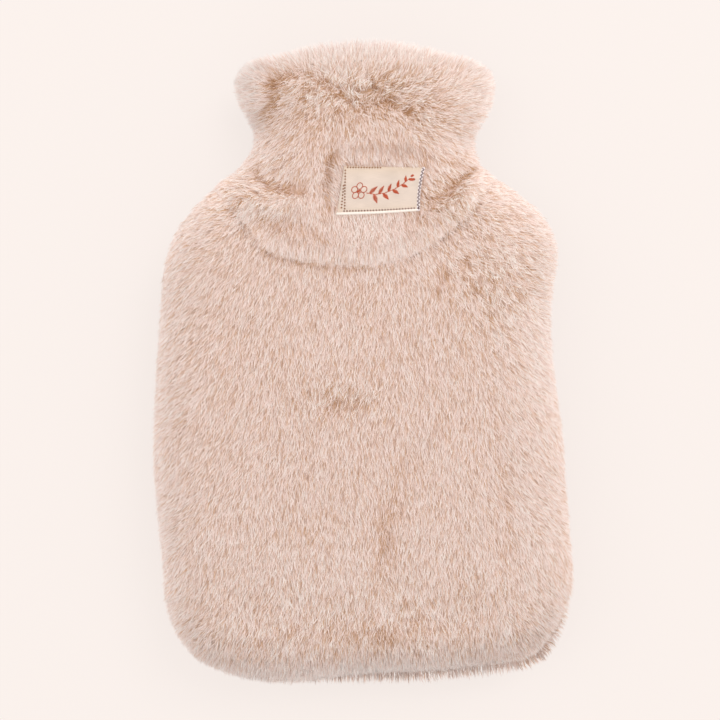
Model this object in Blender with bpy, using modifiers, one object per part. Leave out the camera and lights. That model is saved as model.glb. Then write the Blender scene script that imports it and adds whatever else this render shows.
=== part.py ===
# Plush cover for a hot water bottle, lying on its back with its neck towards +Y.
# It is hollow: a back panel, a front panel, a neck flap with a bib over the front
# panel, and a small woven label on the bib. The neck is open at its rim.
# Sizes and tables are in millimetres. The meshes are made in metres.
import math

import bpy
import numpy as np

MM = 0.001
COVER = "hot_water_bottle_cover"

SEAM_Z = 26.0  # height of the side seam over the surface it lies on
WALL = 10.0  # backing cloth with its leaning pile
EDGE = 24.0  # how far the rounded side reaches in from the outline
EDGE_BLUR = 10.0  # small waves of the outline are evened out over this reach
GAP = 0.3  # air between neighbouring pieces
CROWN = 2.5  # how much higher the middle of the front is than its sides
CROWN_HALF_WIDTH = 100.0

# Outline seen from above: height along the cover, left edge, right edge.
SIDES = (
    # y, left, right
    (159.0, -64.5, 64.0),
    (150.5, -67.5, 67.4),
    (140.0, -66.7, 67.3),
    (131.5, -62.7, 65.3),
    (123.0, -57.8, 61.0),
    (117.0, -57.6, 59.3),
    (110.5, -59.3, 60.4),
    (106.3, -62.7, 61.9),
    (102.0, -67.0, 66.0),
    (97.9, -73.0, 72.2),
    (93.7, -78.5, 78.3),
    (85.3, -86.6, 87.4),
    (76.9, -93.7, 94.0),
    (68.5, -99.2, 97.9),
    (60.0, -102.6, 99.6),
    (45.4, -105.6, 99.4),
    (24.0, -106.6, 99.2),
    (3.4, -108.4, 100.0),
    (-17.6, -109.6, 102.6),
    (-38.6, -110.3, 105.0),
    (-59.6, -109.7, 106.2),
    (-80.6, -107.9, 108.2),
    (-101.6, -106.0, 109.6),
    (-112.0, -104.4, 110.4),
    (-122.6, -104.6, 109.7),
    (-133.0, -101.9, 107.6),
    (-143.6, -96.8, 104.2),
)
# The bottom edge from left to right.
BOTTOM = (
    # x, y
    (-88.6, -153.6),
    (-79.0, -159.3),
    (-69.6, -162.5),
    (-60.0, -164.8),
    (-44.0, -166.6),
    (-10.0, -166.9),
    (20.0, -166.9),
    (36.0, -166.3),
    (51.5, -164.9),
    (67.0, -163.0),
    (82.5, -159.2),
    (94.5, -153.8),
)
# How far the front rises over the seam and the back drops below it.
SECTIONS = (
    # y, front, back
    (170.0, 27.5, 23.5),
    (152.0, 29.0, 25.0),
    (136.0, 27.5, 23.5),
    (118.0, 25.5, 21.5),
    (100.0, 27.0, 23.5),
    (82.0, 28.5, 25.6),
    (66.0, 29.5, 26.0),
    (20.0, 30.5, 26.0),
    (-60.0, 30.5, 26.0),
    (-110.0, 29.5, 26.0),
    (-140.0, 28.0, 26.0),
    (-170.0, 27.0, 26.0),
)
# The hem of the bib, between the rounded sides.
HEM = (
    # x, y
    (-52.8, 59.6),
    (-45.4, 57.0),
    (-27.6, 52.8),
    (-11.8, 51.3),
    (3.9, 51.2),
    (22.3, 55.9),
    (31.8, 60.1),
    (43.8, 68.0),
)
HEM_LEFT_Y = 92.0  # where the hem runs into the left side seam
HEM_RIGHT_Y = 97.5
BIB_FOCUS = (2.0, 135.0)  # the rows over the hem close in towards this point
HEM_ROWS = (1.0, 3.0, 7.0)  # rows close over the hem
HEM_AIR = 0.4
HEM_DIP = 0.8  # the front panel sinks a little along the hem
HEM_ROUNDING = 1.2
RIM_TOP = 167.0  # the rim's highest point, in the middle
RIM_DROP = 4.5  # how far it falls towards the rounded sides
RIM_HALF = 42.0
RIM_SLOPE = 0.12  # of its ends, over the rounded sides
RIM_REACH = 26.0  # the rows turn level with the rim over this stretch of the sides
LIP_DEPTHS = ((3.2, 6.8), (0.6, 9.4))  # outer and inner face at the rim, then below
CORNER_Y = -149.0  # the bottom edge turns into the sides here
TONGUE_SIDE = 12.0  # how far the front panel runs on under the bib at the sides
TONGUE_ARCH = 3.0
TONGUE_DEPTH = 6.8  # the hidden tongue lies this far under the pile's surface
BIB_PROUD = 3.0  # the bib stands this much over the front panel
BIB_FADE = (92.0, 145.0)  # up the neck that difference is lost
BIB_SIDE_FADE = (0.35, 0.85)  # and towards the sides, as shares of the half width

# Soft troughs in the front: deepest, half width, then the points it runs through.
# A ridge has a depth under nothing.
TROUGHS = {
    "left_neck_crease": (4.5, 6.0, ((-59, 97.5), (-51, 91.5), (-41.5, 90), (-29.5, 89.5))),
    "right_neck_crease": (5.0, 6.0, ((59, 101.5), (53, 95.5), (47, 89.5), (41.5, 84.5))),
    "right_bib_crease": (2.4, 6.0, ((41.5, 84.5), (32.5, 76.5), (23.5, 70.5))),
    "left_bib_fold": (2.2, 7.0, ((-63, 71.5), (-32.5, 70.5), (-19.5, 63))),
    "left_bib_ridge": (-1.6, 8.0, ((-66, 85), (-48, 81), (-29, 81))),
    "right_bib_ridge": (-1.8, 6.0, ((59, 90), (45, 80.5), (34.5, 71.5))),
    "crown_parting": (1.6, 7.0, ((-50, 146), (-33, 153), (-15, 144), (-6, 134), (12, 137), (25, 129))),
    "rim_hollow": (3.5, 7.0, ((-48.5, 149), (-51, 126))),
    "middle_hollow": (1.6, 9.0, ((24, -52), (22, -70), (15, -85), (13, -122))),
    "right_hollow": (1.6, 8.0, ((76, -54), (79, -100))),
    "low_hollow": (1.4, 9.0, ((-60, -128), (-10, -134), (60, -130))),
}
# At the lower right the front is narrower, and the back shows past it.
LEDGE = 6.0
LEDGE_START = (-45.0, 18.0)  # along x: none yet, full
LEDGE_END = (-150.0, -118.0)  # along y on the right side: full, gone

# The woven label: its corners, seen from above.
LABEL_CORNERS = {
    "bottom_left": (-13.6, 80.0),
    "bottom_right": (29.5, 79.0),
    "top_right": (32.1, 102.3),
    "top_left": (-9.5, 102.8),
}
LABEL_THICK = 1.2
LABEL_AIR = 0.5
LABEL_DIP = 2.2  # the pile is pressed down round the label
LABEL_DIP_MARGIN = (9.0, 20.0)  # level up to here, gone by here

ACROSS = 18  # columns between the rounded sides
ROUND = 4  # steps round each rounded side
BODY_ROWS = 23
NECK_ROWS = 12
BACK_NECK_ROWS = 10
TONGUE_ROWS = 4
LABEL_GRID = (8, 4)


def smooth(low, high, value):
    """0 below low, 1 above high, and an S curve between them."""
    share = np.clip((value - low) / (high - low), 0.0, 1.0)
    return share * share * (3.0 - 2.0 * share)


def through(points, steps=8):
    """A smooth line through the points, with steps pieces between two of them."""
    given = np.array(points, float)
    ends = np.vstack([2 * given[0] - given[1], given, 2 * given[-1] - given[-2]])
    line = []
    for i in range(1, len(ends) - 2):
        before, start, end, after = ends[i - 1 : i + 3]
        for t in np.arange(steps) / steps:
            bend = 2 * start + (end - before) * t
            bend += (2 * before - 5 * start + 4 * end - after) * t**2
            bend += (3 * start - before - 3 * end + after) * t**3
            line.append(bend / 2)
    line.append(given[-1])
    return np.array(line)


def along(line):
    """The distance along a line at each of its points."""
    return np.append(0.0, np.cumsum(np.hypot(*np.diff(line, axis=0).T)))


def spaced(line, count):
    """count + 1 points at equal distances along a line."""
    way = along(line)
    places = np.linspace(0.0, way[-1], count + 1)
    return np.column_stack([np.interp(places, way, line[:, k]) for k in (0, 1)])


class Outline:
    """The edge seen from above: down the left side, along the bottom, up the right."""

    def __init__(self):
        left = [(left, y) for y, left, _ in SIDES]
        right = [(right, y) for y, _, right in reversed(SIDES)]
        self.line = through(left + list(BOTTOM) + right)
        self.way = along(self.line)
        self.length = self.way[-1]
        lowest = np.argmin(self.line[:, 1])
        self.left = slice(0, lowest)
        self.right = slice(lowest, None)

    def left_at(self, y):
        return np.interp(-y, -self.line[self.left, 1], self.way[self.left])

    def right_at(self, y):
        return np.interp(y, self.line[self.right, 1], self.way[self.right])

    def point(self, place):
        return np.array([np.interp(place, self.way, self.line[:, k]) for k in (0, 1)])

    def inward(self, place):
        """The direction into the cover. Close to the rim it runs along the rim."""
        ahead = self.point(min(place + EDGE_BLUR, self.length))
        tangent = ahead - self.point(max(place - EDGE_BLUR, 0.0))
        normal = np.array([-tangent[1], tangent[0]]) / np.hypot(*tangent)
        from_rim = min(place, self.length - place)
        level = np.array([1.0 if place < self.length / 2 else -1.0, RIM_SLOPE])
        share = 1.0 - smooth(0.0, RIM_REACH, from_rim)
        normal = normal * (1 - share) + level * share
        return normal / np.hypot(*normal)

    def inside(self, place):
        """Where the rounded side ends and the flat of the panel starts."""
        return self.point(place) + self.inward(place) * EDGE


def section(y, column):
    table = np.array(SECTIONS[::-1])
    return np.interp(y, table[:, 0], table[:, column])


def rounded_section(y, column, blur=9.0):
    """The section table with its corners rounded off."""
    return np.mean([section(y + shift * blur, column) for shift in (-1, -0.5, 0, 0.5, 1)])


def front_height(x, y):
    crown = CROWN * max(0.0, 1.0 - (x / CROWN_HALF_WIDTH) ** 2)
    return rounded_section(y, 1) + crown


def back_height(x, y):
    return rounded_section(y, 2)


def distance_to(x, y, path):
    """How far a point is from a line of short straight pieces."""
    point = np.array([x, y], float)
    nearest = 1e9
    for start, end in zip(np.array(path[:-1], float), np.array(path[1:], float)):
        piece = end - start
        share = np.clip(np.dot(point - start, piece) / np.dot(piece, piece), 0, 1)
        nearest = min(nearest, np.hypot(*(point - start - piece * share)))
    return nearest


def front_relief(x, y):
    """Troughs in the pile, and the dip round the label."""
    relief = 0.0
    for deepest, half_width, path in TROUGHS.values():
        relief -= deepest * math.exp(-((distance_to(x, y, path) / half_width) ** 2))
    corners = np.array(list(LABEL_CORNERS.values()))
    low, high = corners.min(axis=0), corners.max(axis=0)
    away = np.hypot(max(low[0] - x, 0, x - high[0]), max(low[1] - y, 0, y - high[1]))
    # Under the label itself the pile is pressed level, so no trough runs below it.
    near = 1.0 - smooth(*LABEL_DIP_MARGIN, away)
    return relief * (1.0 - near) - LABEL_DIP * near


def no_relief(x, y):
    return 0.0


def bib_height(x, y):
    """How much the bib adds: most in the middle, nothing at the sides and up the neck."""
    table = np.array(SIDES[::-1])
    left, right = (np.interp(y, table[:, 0], table[:, k]) for k in (1, 2))
    share = abs(2 * x - left - right) / (right - left)
    return BIB_PROUD * (1 - smooth(*BIB_FADE, y)) * (1 - smooth(*BIB_SIDE_FADE, share))


def ledge(outline, place):
    """How far the front's edge is in from the outline at the lower right."""
    x, y = outline.point(place)
    return LEDGE * smooth(*LEDGE_START, x) * (1.0 - smooth(*LEDGE_END, y))


class Row:
    """One line of points across a panel, from the left seam to the right one."""

    def __init__(self, left, right, middle):
        self.left = left  # place along the outline
        self.right = right
        self.middle = middle  # points between the rounded sides
        self.outer = 0.0  # depth of the outer face under the pile's surface
        self.inner = WALL
        self.proud = 0.0  # share of the bib's extra height
        self.covered = False


def curve_row(outline, left, right, middle):
    """A row whose middle runs through given points, tied to both rounded sides."""
    line = through([outline.inside(left), *middle, outline.inside(right)])
    return Row(left, right, spaced(line, ACROSS))


def rows_between(outline, first, last, count):
    """Rows that turn evenly from one given row into another, without those two."""
    found = []
    across = np.linspace(0.0, 1.0, ACROSS + 1)[:, None]
    for share in np.arange(1, count) / count:
        left = first.left + (last.left - first.left) * share
        right = first.right + (last.right - first.right) * share
        middle = first.middle * (1 - share) + last.middle * share
        middle = middle + (1 - across) * (outline.inside(left) - middle[0])
        middle = middle + across * (outline.inside(right) - middle[-1])
        found.append(Row(left, right, middle))
    return found


def shifted_row(outline, row, shift):
    """A copy of the hem's row, moved up the bib by a short distance."""
    left, right = row.left - shift, row.right + shift
    way = np.array(BIB_FOCUS) - row.middle
    middle = row.middle + shift * way / np.hypot(way[:, 0], way[:, 1])[:, None]
    middle[0], middle[-1] = outline.inside(left), outline.inside(right)
    return Row(left, right, middle)


def rim_row(outline):
    places = np.array([-0.6, 0.0, 0.6])
    arch = np.column_stack([places * RIM_HALF, RIM_TOP - RIM_DROP * places**2])
    row = curve_row(outline, 0.0, outline.length, arch)
    row.outer, row.inner = LIP_DEPTHS[0]
    return row


def rows_under_rim(outline, rim, below, count):
    """The neck's rows. The first of them rounds the lip off."""
    rows = rows_between(outline, rim, below, count)
    rows[0].outer, rows[0].inner = LIP_DEPTHS[1]
    return rows


def hem_row(outline):
    left, right = outline.left_at(HEM_LEFT_Y), outline.right_at(HEM_RIGHT_Y)
    return curve_row(outline, left, right, HEM)


def tongue_row(outline, hem):
    """Where the front panel ends under the bib."""
    left, right = hem.left - TONGUE_SIDE, hem.right + TONGUE_SIDE
    middle = (outline.inside(left) + outline.inside(right)) / 2
    return curve_row(outline, left, right, [middle + np.array([0.0, TONGUE_ARCH])])


def covered_rows(outline, hem):
    """The rows that the bib and the front panel share where one covers the other."""
    end, start = tongue_row(outline, hem), shifted_row(outline, hem, HEM_ROWS[2])
    rows = [end, *rows_between(outline, end, start, TONGUE_ROWS), start]
    rows.append(shifted_row(outline, hem, HEM_ROWS[1]))
    return rows


def lowest_row(outline):
    """The row along the inner side of the rounded bottom edge."""
    places = bottom_places(outline)
    middle = [outline.inside(place) for place in places]
    return Row(places[0], places[-1], np.array(middle))


def bottom_places(outline):
    left, right = outline.left_at(CORNER_Y), outline.right_at(CORNER_Y)
    return np.linspace(left, right, ACROSS + 1)


class Skin:
    """One face of a panel: its rule for height, and its points row by row."""

    def __init__(self, outline, side, height, relief, ledges):
        self.outline = outline
        self.side = side  # 1 for the front, -1 for the back
        self.height = height
        self.relief = relief
        self.ledges = ledges
        self.points = []

    def add(self, x, y, turn, depth, proud, plain):
        rise = self.height(x, y) - depth
        if not plain:
            rise += self.relief(x, y) + proud * bib_height(x, y)
        rise = max(rise * math.sin(turn), GAP / 2)
        self.points.append((x, y, SEAM_Z + self.side * rise))

    def round_points(self, place, depth, plain):
        """From the seam up the rounded side, to just short of the flat."""
        found = []
        start = depth if plain or not self.ledges else max(depth, ledge(self.outline, place))
        edge, way = self.outline.point(place), self.outline.inward(place)
        for step in range(ROUND):
            turn = math.pi / 2 * step / ROUND
            inset = start + (EDGE - start) * (1 - math.cos(turn))
            found.append((*(edge + way * inset), turn))
        return found

    def add_row(self, row, depth, plain):
        for point in self.round_points(row.left, depth, plain):
            self.add(*point, depth, row.proud, plain)
        for x, y in row.middle:
            self.add(x, y, math.pi / 2, depth, row.proud, plain)
        for point in reversed(self.round_points(row.right, depth, plain)):
            self.add(*point, depth, row.proud, plain)

    def add_bottom(self, places, depth, plain):
        for place in places:
            for point in self.round_points(place, depth, plain):
                self.add(*point, depth, 0.0, plain)


def skin_faces(row_count, with_bottom):
    """Faces over one skin of a panel, as numbers of its points."""
    wide = 2 * ROUND + ACROSS + 1
    faces = []
    for row in range(row_count - 1):
        for column in range(wide - 1):
            corner = row * wide + column
            faces.append((corner, corner + wide, corner + wide + 1, corner + 1))
    last, extra = (row_count - 1) * wide, row_count * wide

    def node(column, step):
        if column == 0:
            return last + step
        if column == ACROSS:
            return last + wide - 1 - step
        if step == ROUND:
            return last + ROUND + column
        return extra + (column - 1) * ROUND + step

    for column in range(ACROSS if with_bottom else 0):
        for step in range(ROUND):
            low, high = node(column, step), node(column + 1, step)
            faces.append((low, high, node(column + 1, step + 1), node(column, step + 1)))
    return faces


def free_edges(faces):
    """The edges that only one face has, in that face's direction."""
    found = {edge for face in faces for edge in zip(face, face[1:] + face[:1])}
    return [edge for edge in found if edge[::-1] not in found]


def shell(name, outline, rows, side, height, relief, material, bottom=(), ledges=False):
    """A closed shell from its rows: outer skin, inner skin and the strip round them."""
    outer = Skin(outline, side, height, relief, ledges)
    inner = Skin(outline, side, height, relief, False)
    for row in rows:
        outer.add_row(row, row.outer, row.covered)
        inner.add_row(row, row.inner, True)
    outer.add_bottom(bottom, 0.0, False)
    inner.add_bottom(bottom, WALL, True)
    skin = skin_faces(len(rows), len(bottom) > 0)
    shift = len(outer.points)
    faces = skin + [tuple(shift + point for point in reversed(face)) for face in skin]
    for start, end in sorted(free_edges(skin)):
        faces.append((end, start, start + shift, end + shift))
    if side < 0:
        faces = [face[::-1] for face in faces]
    return solid(name, np.array(outer.points + inner.points) * MM, faces, material)


def solid(name, points, faces, material):
    mesh = bpy.data.meshes.new(name)
    mesh.from_pydata(points.tolist(), [], faces)
    mesh.materials.append(material)
    mesh.shade_smooth()
    mesh.set_sharp_from_angle(angle=math.radians(50))
    item = bpy.data.objects.new(name, mesh)
    bpy.data.collections[COVER].objects.link(item)
    return item


def cloth(name, colour, roughness):
    material = bpy.data.materials.new(name)
    material.use_nodes = True
    finish = material.node_tree.nodes["Principled BSDF"].inputs
    finish["Base Color"].default_value = (*colour, 1.0)
    finish["Roughness"].default_value = roughness
    finish["Metallic"].default_value = 0.0
    return material


def back_panel(outline):
    rim, waist, lowest = rim_row(outline), hem_row(outline), lowest_row(outline)
    rows = [rim, *rows_under_rim(outline, rim, waist, BACK_NECK_ROWS), waist]
    rows += [*rows_between(outline, waist, lowest, BODY_ROWS), lowest]
    material = cloth("shaded_plush", (0.62, 0.46, 0.39), 0.95)
    bottom = bottom_places(outline)[1:-1]
    return shell("back_panel", outline, rows, -1, back_height, no_relief, material, bottom)


def front_panel(outline):
    hem, lowest = hem_row(outline), lowest_row(outline)
    tongue = [*covered_rows(outline, hem), shifted_row(outline, hem, HEM_ROWS[0])]
    for row in tongue:
        row.outer, row.covered = TONGUE_DEPTH, True
    hem.outer = HEM_DIP
    rows = [*tongue, hem, *rows_between(outline, hem, lowest, BODY_ROWS), lowest]
    material = cloth("plush", (0.73, 0.54, 0.46), 0.95)
    bottom = bottom_places(outline)[1:-1]
    return shell(
        "front_panel", outline, rows, 1, front_height, front_relief, material, bottom, ledges=True
    )


def neck_flap(outline):
    rim, hem = rim_row(outline), hem_row(outline)
    covering = covered_rows(outline, hem)
    neck = rows_under_rim(outline, rim, covering[0], NECK_ROWS)
    edge = shifted_row(outline, hem, HEM_ROWS[0] + HEM_AIR)
    for row in (*covering, edge):
        row.inner = TONGUE_DEPTH - GAP
    for row in (*neck, *covering[:-1]):
        row.proud = 1.0
    covering[-1].proud = 0.7
    edge.outer = HEM_ROUNDING
    rows = [rim, *neck, *covering, edge]
    material = cloth("neck_plush", (0.73, 0.53, 0.45), 0.95)
    return shell("neck_flap", outline, rows, 1, front_height, front_relief, material)


def label():
    """A small woven sheet that follows the pile under it."""
    corners = {name: np.array(place) for name, place in LABEL_CORNERS.items()}
    across, down = LABEL_GRID
    points, faces = [], []
    for row in range(down + 1):
        left = corners["bottom_left"] + (corners["top_left"] - corners["bottom_left"]) * row / down
        right = corners["bottom_right"] + (corners["top_right"] - corners["bottom_right"]) * row / down
        for column in range(across + 1):
            x, y = left + (right - left) * column / across
            rise = front_height(x, y) + front_relief(x, y) + bib_height(x, y)
            points.append((x, y, SEAM_Z + rise + LABEL_AIR))
    wide = across + 1
    for row in range(down):
        for column in range(across):
            corner = row * wide + column
            faces.append((corner, corner + 1, corner + wide + 1, corner + wide))
    material = cloth("woven_label", (0.86, 0.74, 0.56), 0.8)
    item = solid("label", np.array(points) * MM, faces, material)
    thickness = item.modifiers.new("thickness", "SOLIDIFY")
    thickness.thickness = LABEL_THICK * MM
    thickness.offset = 1.0
    return item


def clear_scene():
    for item in list(bpy.data.objects):
        bpy.data.objects.remove(item)


def build():
    clear_scene()
    collection = bpy.data.collections.new(COVER)
    bpy.context.scene.collection.children.link(collection)
    outline = Outline()
    back_panel(outline)
    front_panel(outline)
    neck_flap(outline)
    label()


build()
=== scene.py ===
# Plush slip-on cover for a hot water bottle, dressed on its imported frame:
# backing cloth, pile and a woven label. Lengths in the dictionaries are in millimetres.
import math

import bmesh
import bpy
import numpy as np
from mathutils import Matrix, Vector
from mathutils.bvhtree import BVHTree
from mathutils.kdtree import KDTree


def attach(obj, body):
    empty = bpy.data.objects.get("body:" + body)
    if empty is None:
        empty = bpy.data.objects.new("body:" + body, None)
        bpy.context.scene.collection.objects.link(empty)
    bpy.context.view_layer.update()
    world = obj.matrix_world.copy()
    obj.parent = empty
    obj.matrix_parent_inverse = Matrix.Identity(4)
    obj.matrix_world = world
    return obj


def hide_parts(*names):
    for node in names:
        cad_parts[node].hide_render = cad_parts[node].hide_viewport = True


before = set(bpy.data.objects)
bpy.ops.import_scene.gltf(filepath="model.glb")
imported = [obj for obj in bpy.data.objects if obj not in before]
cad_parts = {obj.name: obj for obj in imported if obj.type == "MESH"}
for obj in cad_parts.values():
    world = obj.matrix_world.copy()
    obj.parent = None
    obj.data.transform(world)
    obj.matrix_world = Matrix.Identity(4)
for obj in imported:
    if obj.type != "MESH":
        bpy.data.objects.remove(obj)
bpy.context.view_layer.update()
mm = 0.001
paintMap = "OFBake"  # the UV map that strands, cloth and label are coloured through


# small helpers for node trees and meshes

def put(tree, kind, inputs=None, **settings):
    made = tree.nodes.new(kind)
    for name, value in settings.items():
        setattr(made, name, value)
    for key, value in (inputs or {}).items():
        if isinstance(value, bpy.types.NodeSocket):
            tree.links.new(value, made.inputs[key])
        else:
            made.inputs[key].default_value = value
    return made


def maths(tree, operation, *values, clamp=False):
    made = put(tree, "ShaderNodeMath", dict(enumerate(values)), operation=operation)
    made.use_clamp = clamp
    return made.outputs[0]


def vectorMaths(tree, operation, *values):
    made = put(tree, "ShaderNodeVectorMath", dict(enumerate(values)), operation=operation)
    return made.outputs["Value" if operation in ("DOT_PRODUCT", "LENGTH") else "Vector"]


def scaled(tree, vector, factor):
    made = put(tree, "ShaderNodeVectorMath", {0: vector, "Scale": factor}, operation="SCALE")
    return made.outputs[0]


def added(tree, *vectors):
    total = vectors[0]
    for vector in vectors[1:]:
        total = vectorMaths(tree, "ADD", total, vector)
    return total


def apart(tree, vector):
    return put(tree, "ShaderNodeSeparateXYZ", {0: vector}).outputs


def joined(tree, x, y, z):
    return put(tree, "ShaderNodeCombineXYZ", {"X": x, "Y": y, "Z": z}).outputs[0]


def noise(tree, place, scale, detail):
    return put(tree, "ShaderNodeTexNoise", {"Vector": place, "Scale": scale, "Detail": detail}).outputs


def chance(tree, low, high, seed):
    made = put(tree, "FunctionNodeRandomValue", {"Seed": seed}, data_type="FLOAT")
    made.inputs[2].default_value, made.inputs[3].default_value = low, high
    return made.outputs[1]


def kept(tree, name, kind="FLOAT"):
    return put(tree, "GeometryNodeInputNamedAttribute", {"Name": name}, data_type=kind).outputs[0]


def stored(tree, geometry, name, value, kind="FLOAT", domain="POINT"):
    made = put(
        tree, "GeometryNodeStoreNamedAttribute", {"Geometry": geometry, "Name": name}, data_type=kind, domain=domain
    )
    tree.links.new(value, made.inputs["Value"])
    return made.outputs[0]


def newTree(name, sockets):
    tree = bpy.data.node_groups.new(name, "GeometryNodeTree")
    tree.interface.new_socket("Geometry", in_out="INPUT", socket_type="NodeSocketGeometry")
    for label, kind in sockets:
        tree.interface.new_socket(label, in_out="INPUT", socket_type="NodeSocket" + kind)
    tree.interface.new_socket("Geometry", in_out="OUTPUT", socket_type="NodeSocketGeometry")
    return tree, tree.nodes.new("NodeGroupInput").outputs, tree.nodes.new("NodeGroupOutput")


def newObject(name, mesh):
    made = bpy.data.objects.new(name, mesh)
    bpy.context.scene.collection.objects.link(made)
    return made


def plainMesh(worker):
    graph = bpy.context.evaluated_depsgraph_get()
    mesh = bpy.data.meshes.new_from_object(
        worker.evaluated_get(graph), preserve_all_data_layers=True, depsgraph=graph
    )
    bpy.data.objects.remove(worker)
    return mesh


workingLayers = (
    "comb", "raised", "long", "growth", "tone", "ruffle", "reach", "lift", "fine", "sky",
    "neat", "strandTone", "along", "across", "ground", "wide",
)


def grown(name, source, tree, values):
    # runs a tree over a mesh and keeps the result as a plain mesh
    worker = newObject(name + "_worker", source)
    modifier = worker.modifiers.new(tree.name, "NODES")
    modifier.node_group = tree
    for item in tree.interface.items_tree:
        if item.in_out == "INPUT" and item.name in values:
            modifier[item.identifier] = values[item.name]
    mesh = plainMesh(worker)
    for layer in [found.name for found in mesh.attributes if found.name in workingLayers]:
        mesh.attributes.remove(mesh.attributes[layer])
    mesh.name = name
    return newObject(name, mesh)


def smooth(low, high, value):
    share = np.clip((value - low) / (high - low), 0.0, 1.0)
    return share * share * (3.0 - 2.0 * share)


def patched(places, patches):
    # a sum of soft round patches: x, y, spread along x, spread along y, height
    total = np.zeros(len(places))
    for x, y, spreadX, spreadY, by in patches:
        away = ((places[:, 0] / mm - x) / spreadX) ** 2 + ((places[:, 1] / mm - y) / spreadY) ** 2
        total += by * np.exp(-away)
    return total


def awayFrom(places, path):
    # how far each place is from a path, seen from the front, and which way that is
    points = places[:, :2] / mm
    nearest, way = np.full(len(points), 1e9), np.zeros((len(points), 2))
    for start, end in zip(np.array(path[:-1], float), np.array(path[1:], float)):
        run = end - start
        share = np.clip(((points - start) @ run) / (run @ run), 0, 1)
        offset = points - start - share[:, None] * run
        reach = np.hypot(offset[:, 0], offset[:, 1])
        closer = reach < nearest
        nearest[closer] = reach[closer]
        way[closer] = offset[closer] / np.maximum(reach[closer], 1e-6)[:, None]
    return nearest, way


def pointValues(mesh, name, values):
    mesh.attributes.new(name, "FLOAT", "POINT").data.foreach_set("value", values)


def arrays(mesh):
    count = len(mesh.vertices)
    places, normals = np.empty(count * 3), np.empty(count * 3)
    mesh.vertices.foreach_get("co", places)
    mesh.vertices.foreach_get("normal", normals)
    return places.reshape(-1, 3), normals.reshape(-1, 3)


# the outside of each panel, taken from its solid and made smoother

skin = {
    "weld": 0.05,
    "joined": (0.7, 1.2),  # triangles are joined into squares up to these angles
    "pileRounds": 2,  # rounds of subdivision under the pile, and for the backing
    "backingRounds": 1,
    "spineHalf": (78.0, 30.0),  # half width of the flat spine, in the body and in the neck
    "spineTurn": (60.0, 105.0),  # where the body's width turns into the neck's
    "spineEnds": (-140.0, 150.0),
    "spineHeight": 26.0,
    "outward": 0.3,  # a face is outer when it looks at least this much away from the spine
    "coverFrom": 0.1,
    "coverReach": 14.0,  # the bib covers what lies this close under it
    "underBib": 5.0,  # the front's pile runs on this far under the bib, where it is this level
    "levelUnderBib": 0.5,
    "hemBelow": 99.0,  # the bib's free edge lies below this on y, and over the next on z
    "hemAbove": 30.0,
}

# soft folds in the plush: the panels they are in, half their width, depth, how much painted
# shade darkens them (negative: painted light on a ridge), how far the pile parts there, how bare the
# bottom is, and the points each runs through; a ridge has a depth under nothing
folds = {
    "leftCrease": (("flap",), 2.4, 1.6, 0.4, 0.4, 0.8, ((-57, 99), (-51, 92), (-41.5, 90.5), (-30.5, 89.5))),
    "leftBulge": (("flap",), 7.0, -1.0, -0.08, 0.0, 0.0, ((-67, 84), (-49, 81), (-30, 80.5))),
    "leftFold": (("front", "flap"), 3.4, 1.0, 0.16, 0.1, 0.0, ((-55, 72), (-47, 71.5), (-32.5, 70), (-19, 62.5))),
    "leftTick": (("front", "flap"), 1.6, 0.6, 0.28, 0.2, 0.2, ((-69, 79.5), (-61, 87))),
    "rightCrease": (("flap",), 2.4, 1.0, 0.06, 0.4, 0.0,
                    ((61, 102.5), (53, 95.5), (47, 89.5), (41.5, 84.5), (32.5, 77), (24, 71))),
    "rightLine": (("flap",), 1.0, 0.8, 0.8, 0.0, 0.5, ((60, 102), (51, 94.5), (42, 86.5))),
    "rightTick": (("flap",), 0.9, 0.4, 0.4, 0.0, 0.3, ((47, 103), (60, 102))),
    "rightRidge": (("front", "flap"), 5.0, -1.2, -0.06, 0.0, 0.0, ((59, 90.5), (45, 80.5), (34.5, 71.5))),
    "parting": (("flap",), 3.2, 1.4, 0.42, 0.8, 0.4,
                ((-51, 145), (-33.5, 152), (-15, 143.5), (-6, 133.5), (12, 136.5), (25.5, 128.5))),
    "rimHollow": (("flap",), 4.0, 0.8, 0.22, 0.3, 0.3, ((-48, 149), (-50, 128))),
    "labelTuft": (("flap",), 1.3, 1.0, 0.5, 0.1, 0.6, ((33.5, 105), (32.8, 102))),
    "labelHollow": (("flap",), 2.6, 1.2, 0.8, 0.1, 0.5, ((-15.6, 106), (-15.2, 101.5))),
    "labelFoot": (("flap",), 2.2, 0.8, 0.6, 0.1, 0.4, ((-16.5, 95.5), (-16.3, 87.5))),
    "labelShade": (("flap",), 1.0, 0.2, 0.5, 0.0, 0.0, ((-13.6, 79.2), (-4, 78.3), (10, 78.2))),
    "labelLock": (("flap",), 1.1, 0.5, 0.34, 0.0, 0.3, ((-17, 83.5), (-18.5, 71))),
    "shoulderParting": (("front",), 1.8, 1.2, 0.36, 0.3, 0.8, ((45, 48), (39, 36.5))),
    "shoulderTick": (("front",), 1.6, 0.9, 0.3, 0.2, 0.7, ((54, 54), (56, 48))),
    "middleTuft": (("front",), 2.0, 1.0, 0.2, 0.5, 0.4, ((-20, -18.5), (-8, -23.5), (0, -21.5))),
    "lowHollow": (("front",), 5.0, 0.6, 0.1, 0.2, 0.1, ((22, -51), (19, -72), (12, -84), (12, -119))),
    "rightHollow": (("front",), 3.0, 0.5, 0.12, 0.2, 0.2, ((74, -53), (77, -97))),
}
foldReach = (1.6, 0.9, 0.6)  # where it parts, takes its painted shade and is bare, in half widths
# the shade on the front just below the bib's hem: how far below, half its width, how dark, and
# where it is gone and full, from the left and from the right
underHem = {"below": 3.2, "half": 1.7, "dark": 0.48, "ends": ((-56, -44), (40, -30))}


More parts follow.
